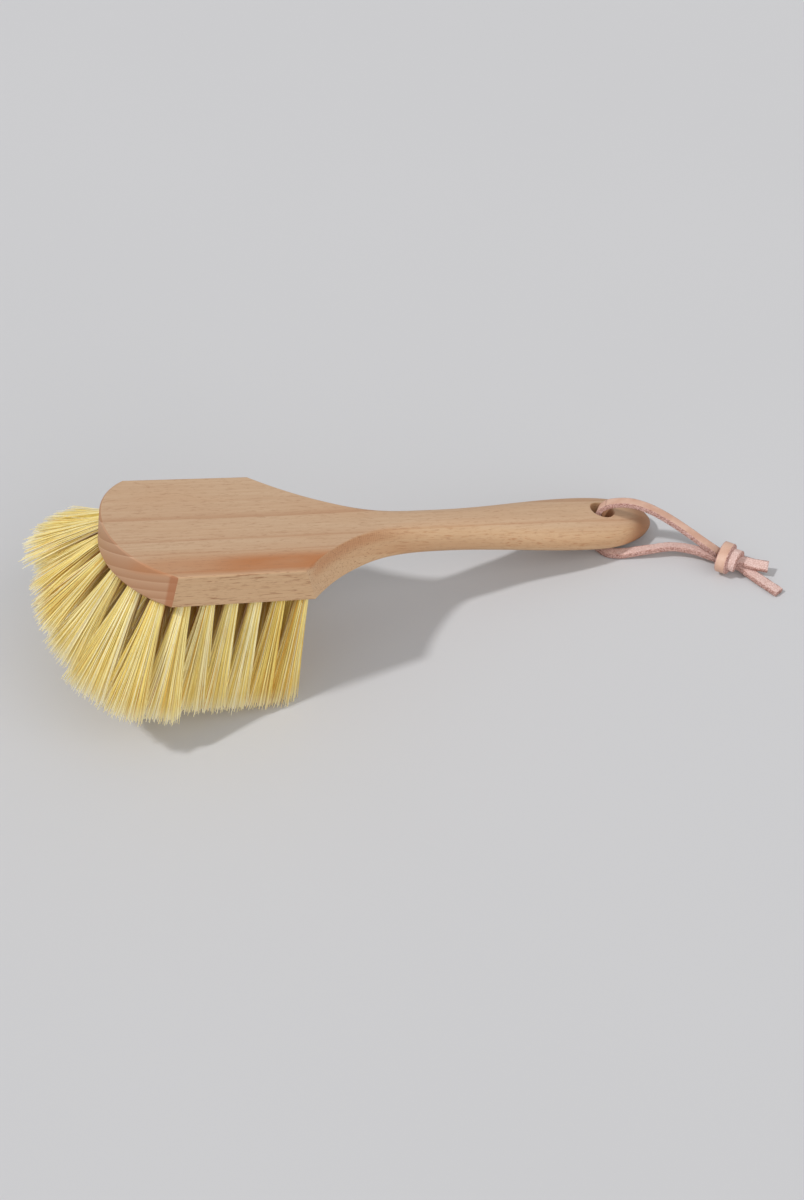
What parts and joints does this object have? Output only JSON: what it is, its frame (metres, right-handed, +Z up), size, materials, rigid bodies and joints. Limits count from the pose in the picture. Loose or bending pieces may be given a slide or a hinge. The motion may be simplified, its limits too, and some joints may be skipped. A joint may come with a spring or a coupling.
{
  "type": "cushion brush",
  "caption": "Hand brush with a one-piece beech head and handle, fanned plant-fibre tufts stapled into its underside and a knotted leather hanging loop.",
  "frame": {"origin": "on the surface that the brush rests on, under the middle of the brush without its leather loop", "axes": "+X from the head's nose towards the handle's end, +Y to the far side, +Z up"},
  "size_m": [0.3104, 0.1259, 0.0883],
  "materials": {
    "beech": "bare, sanded, lightly oiled",
    "fibre": "natural plant fibre, cut ends",
    "wire": "bare flat wire",
    "leather": "undyed, smooth on one face and suede on the other"
  },
  "bodies": {
    "brush": {"beech_body": "beech", "tuft_row_outer": "fibre", "tuft_row_middle": "fibre", "tuft_row_inner": "fibre", "staple_outer_01": "wire", "staple_outer_02": "wire", "staple_outer_03": "wire", "staple_outer_04": "wire", "staple_outer_05": "wire", "staple_outer_06": "wire", "staple_outer_07": "wire", "staple_outer_08": "wire", "staple_outer_09": "wire", "staple_outer_10": "wire", "staple_outer_11": "wire", "staple_outer_12": "wire", "staple_outer_13": "wire", "staple_outer_14": "wire", "staple_outer_15": "wire", "staple_outer_16": "wire", "staple_outer_17": "wire", "staple_outer_18": "wire", "staple_outer_19": "wire", "staple_outer_20": "wire", "staple_outer_21": "wire", "staple_outer_22": "wire", "staple_middle_01": "wire", "staple_middle_02": "wire", "staple_middle_03": "wire", "staple_middle_04": "wire", "staple_middle_05": "wire", "staple_middle_06": "wire", "staple_middle_07": "wire", "staple_middle_08": "wire", "staple_middle_09": "wire", "staple_middle_10": "wire", "staple_middle_11": "wire", "staple_middle_12": "wire", "staple_middle_13": "wire", "staple_middle_14": "wire", "staple_middle_15": "wire", "staple_inner_01": "wire", "staple_inner_02": "wire", "staple_inner_03": "wire", "staple_inner_04": "wire", "staple_inner_05": "wire", "staple_inner_06": "wire", "staple_inner_07": "wire"},
    "hanging_loop": {"thong_upper_strand": "leather", "thong_bight": "leather", "thong_lower_strand": "leather", "thong_knot": "leather", "thong_tail_upper": "leather", "thong_tail_lower": "leather"}
  },
  "joints": [
    {"name": "loop_swing", "type": "hinge", "parent": "brush", "child": "hanging_loop", "pos_m": [0.11286, -0.01036, 0.01051], "axis": [0, 0, 1], "range_deg": [-75, 3]}
  ]
}
